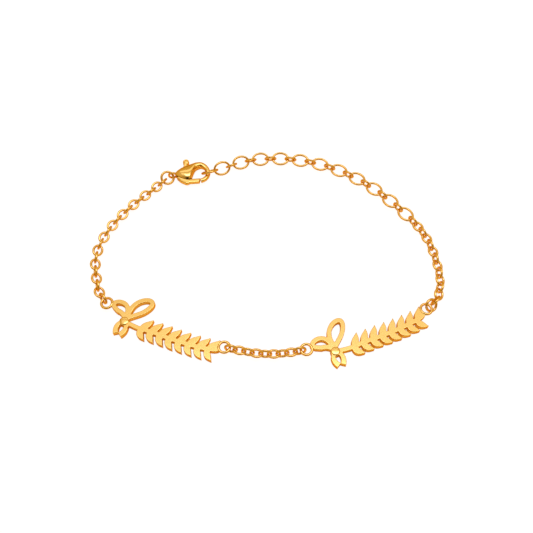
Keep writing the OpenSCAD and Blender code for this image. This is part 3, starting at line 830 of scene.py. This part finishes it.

# %% [markdown]
# ## Table and backdrop
#
# Small jewellery is often laid on an opal sheet that is lit from below, which drowns its
# shadows and leaves a pure white ground. A matt white floor could be lit from above instead,
# but it would need so much light that the gold would burn out, and the shadows would stay.
# So the table and the dome behind it glow on their own, and only the camera sees them. The metal would mirror such
# a white table in its lower sides and lose its deep amber. What it mirrors there instead is a painted reflection:
# a sheet just under the table that only reflections see. It glows a dim amber of its own and is darker where
# pieces stand close.

# %% Table, backdrop and painted reflection sheet
FLOOR_SIDE = 3.0
BACKDROP_R = 1.4
BACKDROP_TOP = 1.5
BACKDROP_STEPS, BACKDROP_ROWS = 48, 9
BELOW = 0.05 * MM
TABLE_GLOW = 0.93


def glowing_white(name, hex_colour, glow):
    """A matt white that also glows a little, as an opal sheet lit from behind."""
    material = bpy.data.materials.new(name)
    material.use_nodes = True
    shader = material.node_tree.nodes["Principled BSDF"]
    shader.inputs["Base Color"].default_value = linear(hex_colour)
    shader.inputs["Roughness"].default_value = 0.9
    shader.inputs["Specular IOR Level"].default_value = 0.1
    shader.inputs["Emission Color"].default_value = linear("#FFFFFF")
    shader.inputs["Emission Strength"].default_value = glow
    return material


def stage_piece(name, points, faces, material, seen_by):
    """A piece of the studio, and which kinds of ray meet it: camera, glossy or diffuse."""
    mesh = bpy.data.meshes.new(name)
    mesh.from_pydata(points, [], faces)
    mesh.materials.append(material)
    piece = bpy.data.objects.new(name, mesh)
    bpy.context.scene.collection.objects.link(piece)
    piece.visible_camera = "camera" in seen_by
    piece.visible_glossy = "glossy" in seen_by
    piece.visible_diffuse = piece.visible_transmission = piece.visible_shadow = False


def square(side, level):
    """A level square, facing up."""
    h = side / 2
    return [(-h, -h, level), (h, -h, level), (h, h, level), (-h, h, level)], [(0, 1, 2, 3)]


opal = glowing_white("opal_acrylic", "#7C8086", TABLE_GLOW)
stage_piece("light_table", *square(FLOOR_SIDE, 0), opal, ["camera"])
turn = np.linspace(0, 2 * math.pi, BACKDROP_STEPS, endpoint=False)[:, None]
lift = np.linspace(0, BACKDROP_TOP, BACKDROP_ROWS)[None, :]
dome = np.stack(np.broadcast_arrays(
    np.cos(turn) * np.cos(lift), np.sin(turn) * np.cos(lift), np.sin(lift)), -1) * BACKDROP_R
points, faces, _ = grid(dome, np.zeros(BACKDROP_STEPS + 1), np.zeros(BACKDROP_ROWS), loop_v=False)
cloth = glowing_white("backdrop_cloth", "#000000", 1.0)
stage_piece("backdrop", points.tolist(), faces, cloth, ["camera"])
# Painted reflection: a sheet that only glossy rays meet, with a dim amber glow, in place of the table as the metal
# mirrors it
painted_reflection = glowing_white("painted_reflection_card", "#F6E2AC", 1.0)
painted_reflection.node_tree.nodes["Principled BSDF"].inputs["Emission Color"].default_value = linear("#947A44")
stage_piece("painted_reflection_card", *square(FLOOR_SIDE, -BELOW), painted_reflection, ["glossy"])

# %% [markdown]
# ## What the metal mirrors
#
# Gold shows its surroundings and little else, so they are made as a sky around the bracelet:
# pale overhead for the plates' faces, a warmer gold at the sides, and a deep brown below the
# horizon that darkens the edge of each wire. Small lamps alone would leave gold nearly black.
# In the photograph even the brightest wires have a thin dark line along their middle. It is
# the camera and its stand, mirrored where the wire faces them. A dark spot in the sky, a
# little below the camera's own height, does the same, and leaves the flat plates bright when
# they are looked at from straight above.

# %% Sky and dark spot
# Columns: sine of the height above the horizon, and the colour that the surroundings have there
SKY = [(-1.0, "#5A3C10"), (0.0, "#6A4814"), (0.12, "#C0903A"), (0.3, "#E6BE5E"),
       (0.6, "#E8C46C"), (0.86, "#ECD6A2"), (1.0, "#ECDEC2")]
DARK_SPOT_AT = math.radians(51)
DARK_WITHIN = math.radians(17)
CLEAR_BEYOND = math.radians(36)
BRIGHTEST, DARKEST = 0.88, 0.05

world = bpy.data.worlds.new("studio")
bpy.context.scene.world = world
world.use_nodes = True
sky = world.node_tree
sky.nodes.clear()
direction = add(sky, "ShaderNodeTexCoord")
height = add(sky, "ShaderNodeSeparateXYZ", {"Vector": direction.outputs["Generated"]})
share = add(sky, "ShaderNodeMapRange", {"Value": height.outputs["Z"], "From Min": -1.0})
ramp = add(sky, "ShaderNodeValToRGB", {"Fac": share.outputs[0]})
for k, (sine, colour) in enumerate(SKY):
    stops = ramp.color_ramp.elements
    stop = stops[k] if k < 2 else stops.new((sine + 1) / 2)
    stop.position = (sine + 1) / 2
    stop.color = linear(colour)
toward = add(sky, "ShaderNodeVectorMath", {
    0: direction.outputs["Generated"],
    1: (0.0, -math.cos(DARK_SPOT_AT), math.sin(DARK_SPOT_AT))}, operation="DOT_PRODUCT")
light = add(sky, "ShaderNodeMapRange", {
    "Value": toward.outputs["Value"], "From Min": math.cos(CLEAR_BEYOND),
    "From Max": math.cos(DARK_WITHIN), "To Min": BRIGHTEST, "To Max": DARKEST})
background = add(sky, "ShaderNodeBackground", {
    "Color": ramp.outputs["Color"], "Strength": light.outputs[0]})
add(sky, "ShaderNodeOutputWorld", {"Surface": background.outputs[0]})

# %% [markdown]
# Three soft panels hang over the table, as a studio's do. The broad one lifts the plates, the
# bright one inside it gives each wire and the clasp their white line, and the rear one edges
# whatever leans away from the camera. A single lamp could do that only as small hard dots.
# They are slightly blue, because daylight tubes are, and so the highlights stay clean.

# %% Softboxes
# Columns: place, sides and brightness, in metres and watts per square metre and steradian
DAYLIGHT = "#DDE7FF"
PANELS = {"softbox": ((0.05, 0.15, 0.60), (0.62, 0.26), 0.52),
          "softbox_core": ((0.08, 0.08, 0.59), (0.46, 0.19), 2.5),
          "rear_panel": ((-0.04, 0.47, 0.60), (0.70, 0.16), 0.8)}

for name, (place, sides, radiance) in PANELS.items():
    panel = bpy.data.lights.new(name, "AREA")
    panel.shape = "RECTANGLE"
    panel.size, panel.size_y = sides
    panel.energy = radiance * math.pi * sides[0] * sides[1]
    panel.color = linear(DAYLIGHT)[:3]
    lamp = bpy.data.objects.new(name, panel)
    lamp.location = place
    bpy.context.scene.collection.objects.link(lamp)

bpy.context.scene.view_settings.view_transform = "Standard"
